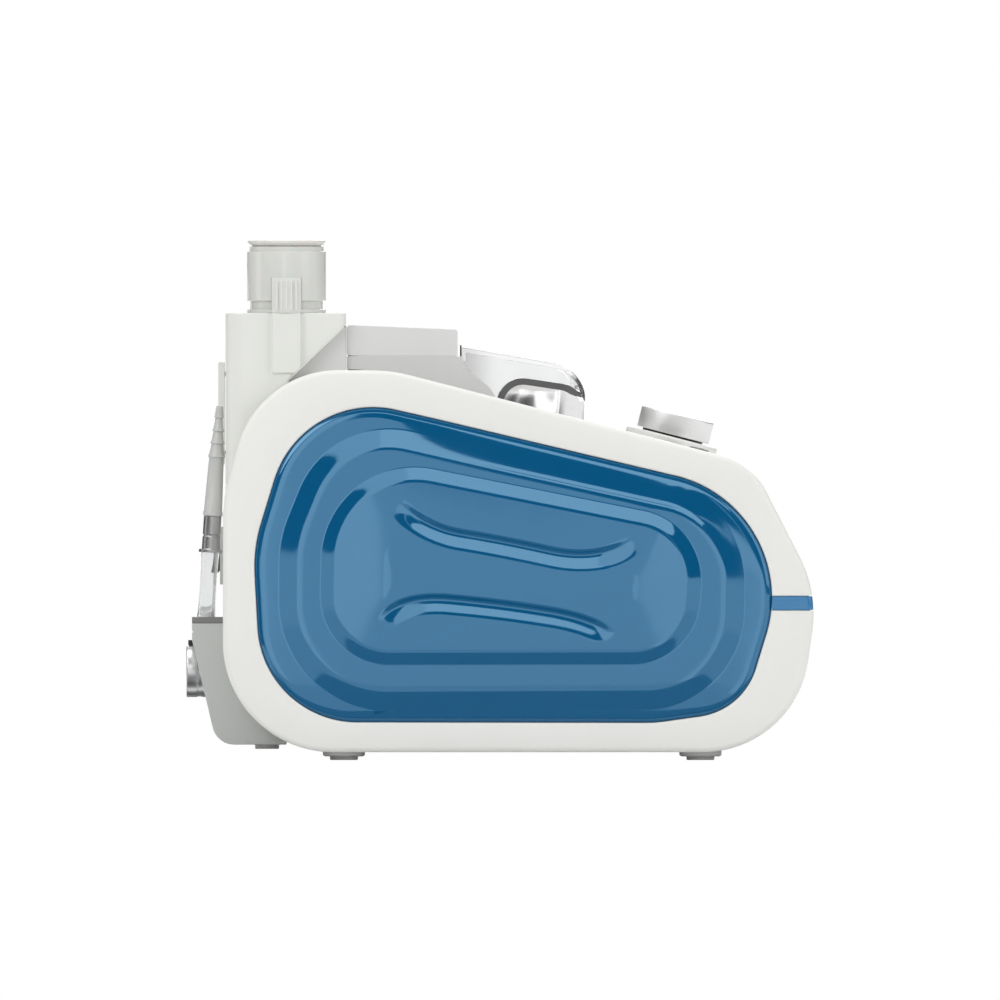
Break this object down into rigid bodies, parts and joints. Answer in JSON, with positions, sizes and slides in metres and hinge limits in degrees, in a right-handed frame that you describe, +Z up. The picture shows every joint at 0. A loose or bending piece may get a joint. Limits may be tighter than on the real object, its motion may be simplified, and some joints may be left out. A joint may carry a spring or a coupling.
{
  "type": "non-invasive ventilator",
  "caption": "Bedside non-invasive ventilator with a heated humidifier chamber, hinged filler lid, breathing port, push-and-turn knob, keys, light bar and rear gas and mains connections.",
  "frame": {"origin": "on the table, under the middle of the machine's outer box", "axes": "+X towards the rounded nose with the light bar, +Y towards the device's left side, +Z up along the breathing port"},
  "size_m": [0.2821, 0.1784, 0.2338],
  "materials": {
    "shell_white": "satin moulded",
    "panel_blue": "glossy",
    "light_blue": "translucent light guide",
    "grey_plastic": "fine texture",
    "smoke_plastic": "translucent grey",
    "clear_plastic": "clear polycarbonate",
    "dark_plastic": "fine texture",
    "rubber": "matte",
    "display_glass": "polished",
    "knob_metal": "brushed",
    "pan_metal": "polished",
    "chrome": "polished",
    "steel": "brushed",
    "brass": "plain",
    "board": "solder mask",
    "key_grey": "silicone"
  },
  "bodies": {
    "housing": {"main_housing": "shell_white", "base_cover": "grey_plastic", "base_screws": "steel", "right_side_frame": "shell_white", "left_side_frame": "shell_white", "right_side_panel": "panel_blue", "left_side_panel": "panel_blue", "light_bar": "light_blue", "foot_rear_right": "rubber", "foot_rear_left": "rubber", "foot_front_right": "rubber", "foot_front_left": "rubber", "outlet_tower": "shell_white", "elbow_hood": "smoke_plastic", "port_collar": "smoke_plastic", "port_sleeve": "smoke_plastic", "port_seal": "rubber", "contact_tab": "smoke_plastic", "outlet_elbow": "smoke_plastic", "inlet_elbow": "smoke_plastic", "chamber_port_seals": "rubber", "heater_plate": "pan_metal", "heater_insulator": "dark_plastic", "console_plate": "shell_white", "display_glass": "display_glass", "display_module": "dark_plastic", "key_board": "board", "knob_plinth": "shell_white", "encoder_body": "dark_plastic", "gas_block": "grey_plastic", "block_cap": "dark_plastic", "oxygen_coupler": "chrome", "riser_tube": "clear_plastic", "riser_collar": "chrome", "inlet_barb": "smoke_plastic", "heel_bumper": "rubber", "mains_inlet": "dark_plastic", "inlet_pins": "brass", "air_filter": "dark_plastic", "blower_volute": "grey_plastic", "blower_motor": "steel", "oxygen_valve": "brass", "main_board": "board", "power_supply": "steel"},
    "plunger": {"encoder_plunger": "steel"},
    "knob": {"knob": "knob_metal", "encoder_shaft": "steel"},
    "standby_key": {"standby_key": "key_grey"},
    "mute_key": {"mute_key": "key_grey"},
    "mode_key": {"mode_key": "key_grey"},
    "power_switch": {"switch_rocker": "dark_plastic"},
    "filter_cover": {"filter_cover": "grey_plastic"},
    "chamber": {"chamber_tank": "clear_plastic", "chamber_seal": "rubber", "chamber_pan": "pan_metal", "chamber_baffle": "clear_plastic", "lid_pin": "chrome"},
    "chamber_lid": {"filler_lid": "smoke_plastic"},
    "impeller": {"blower_impeller": "shell_white"},
    "release": {"coupler_release": "dark_plastic"}
  },
  "joints": [
    {"name": "knob_push", "type": "slide", "parent": "housing", "child": "plunger", "axis": [-0.2492, 0, -0.9684], "range_m": [0, 0.0006], "stiffness_N_per_m": 4000, "springref_m": -0.0005},
    {"name": "knob_turn", "type": "hinge", "parent": "plunger", "child": "knob", "pos_m": [0.07814, 0.034, 0.14728], "axis": [0.2492, 0, 0.9684], "continuous": true},
    {"name": "standby_press", "type": "slide", "parent": "housing", "child": "standby_key", "axis": [-0.2492, 0, -0.9684], "range_m": [0, 0.0008], "stiffness_N_per_m": 1500, "springref_m": -0.0005},
    {"name": "mute_press", "type": "slide", "parent": "housing", "child": "mute_key", "axis": [-0.2492, 0, -0.9684], "range_m": [0, 0.0008], "stiffness_N_per_m": 1500, "springref_m": -0.0005},
    {"name": "mode_press", "type": "slide", "parent": "housing", "child": "mode_key", "axis": [-0.2492, 0, -0.9684], "range_m": [0, 0.0008], "stiffness_N_per_m": 1500, "springref_m": -0.0005},
    {"name": "power_rocker", "type": "hinge", "parent": "housing", "child": "power_switch", "pos_m": [-0.1219, 0.046, 0.092], "axis": [0, -1, 0], "range_deg": [0, 16]},
    {"name": "filter_pull", "type": "slide", "parent": "housing", "child": "filter_cover", "axis": [-1, 0, 0], "range_m": [0, 0.03]},
    {"name": "chamber_lift", "type": "slide", "parent": "housing", "child": "chamber", "axis": [0, 0, 1], "range_m": [0, 0.09]},
    {"name": "lid_hinge", "type": "hinge", "parent": "chamber", "child": "chamber_lid", "pos_m": [-0.066, 0, 0.1936], "axis": [0, -1, 0], "range_deg": [0, 80]},
    {"name": "impeller_spin", "type": "hinge", "parent": "housing", "child": "impeller", "pos_m": [0.066, 0, 0.045], "axis": [0, 0, 1], "continuous": true},
    {"name": "release_push", "type": "slide", "parent": "housing", "child": "release", "axis": [0, 0, -1], "range_m": [0, 0.0012], "stiffness_N_per_m": 800, "springref_m": -0.0008}
  ]
}
